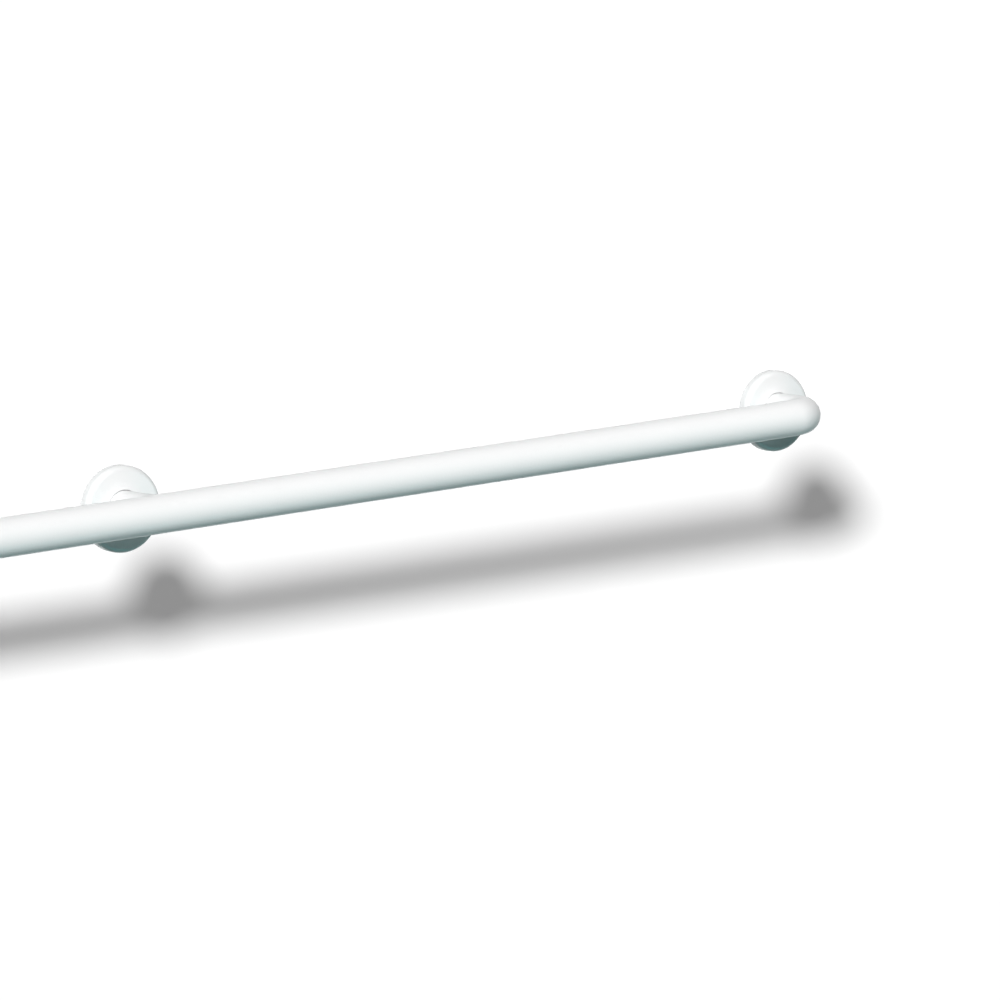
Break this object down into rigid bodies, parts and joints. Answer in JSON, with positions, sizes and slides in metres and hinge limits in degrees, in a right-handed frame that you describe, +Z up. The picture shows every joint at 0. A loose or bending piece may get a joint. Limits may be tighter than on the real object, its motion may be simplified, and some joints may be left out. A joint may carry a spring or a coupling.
{
  "type": "grab bar",
  "caption": "Straight wall grab bar of white coated tube, its ends bent back to the wall, with a middle post and round push-on covers over the screw flanges.",
  "frame": {"origin": "centre of the middle support's wall flange, on the wall plane", "axes": "+X along the bar to the right as seen from the room, +Y into the wall, +Z up"},
  "size_m": [1.474, 0.0785, 0.074],
  "materials": {
    "tube_coat": "white gloss coating on steel tube",
    "flange_coat": "white coating on steel plate",
    "cover_coat": "white gloss coating on drawn steel sheet"
  },
  "bodies": {
    "bar": {"bar_tube": "tube_coat", "centre_post": "tube_coat", "flange_left": "flange_coat", "flange_centre": "flange_coat", "flange_right": "flange_coat"},
    "left_cover": {"cover_left": "cover_coat"},
    "centre_cover": {"cover_centre": "cover_coat"},
    "right_cover": {"cover_right": "cover_coat"}
  },
  "joints": [
    {"name": "left_cover_slide", "type": "slide", "parent": "bar", "child": "left_cover", "axis": [0, -1, 0], "range_m": [0, 0.026]},
    {"name": "centre_cover_slide", "type": "slide", "parent": "bar", "child": "centre_cover", "axis": [0, -1, 0], "range_m": [0, 0.03]},
    {"name": "right_cover_slide", "type": "slide", "parent": "bar", "child": "right_cover", "axis": [0, -1, 0], "range_m": [0, 0.026]}
  ]
}
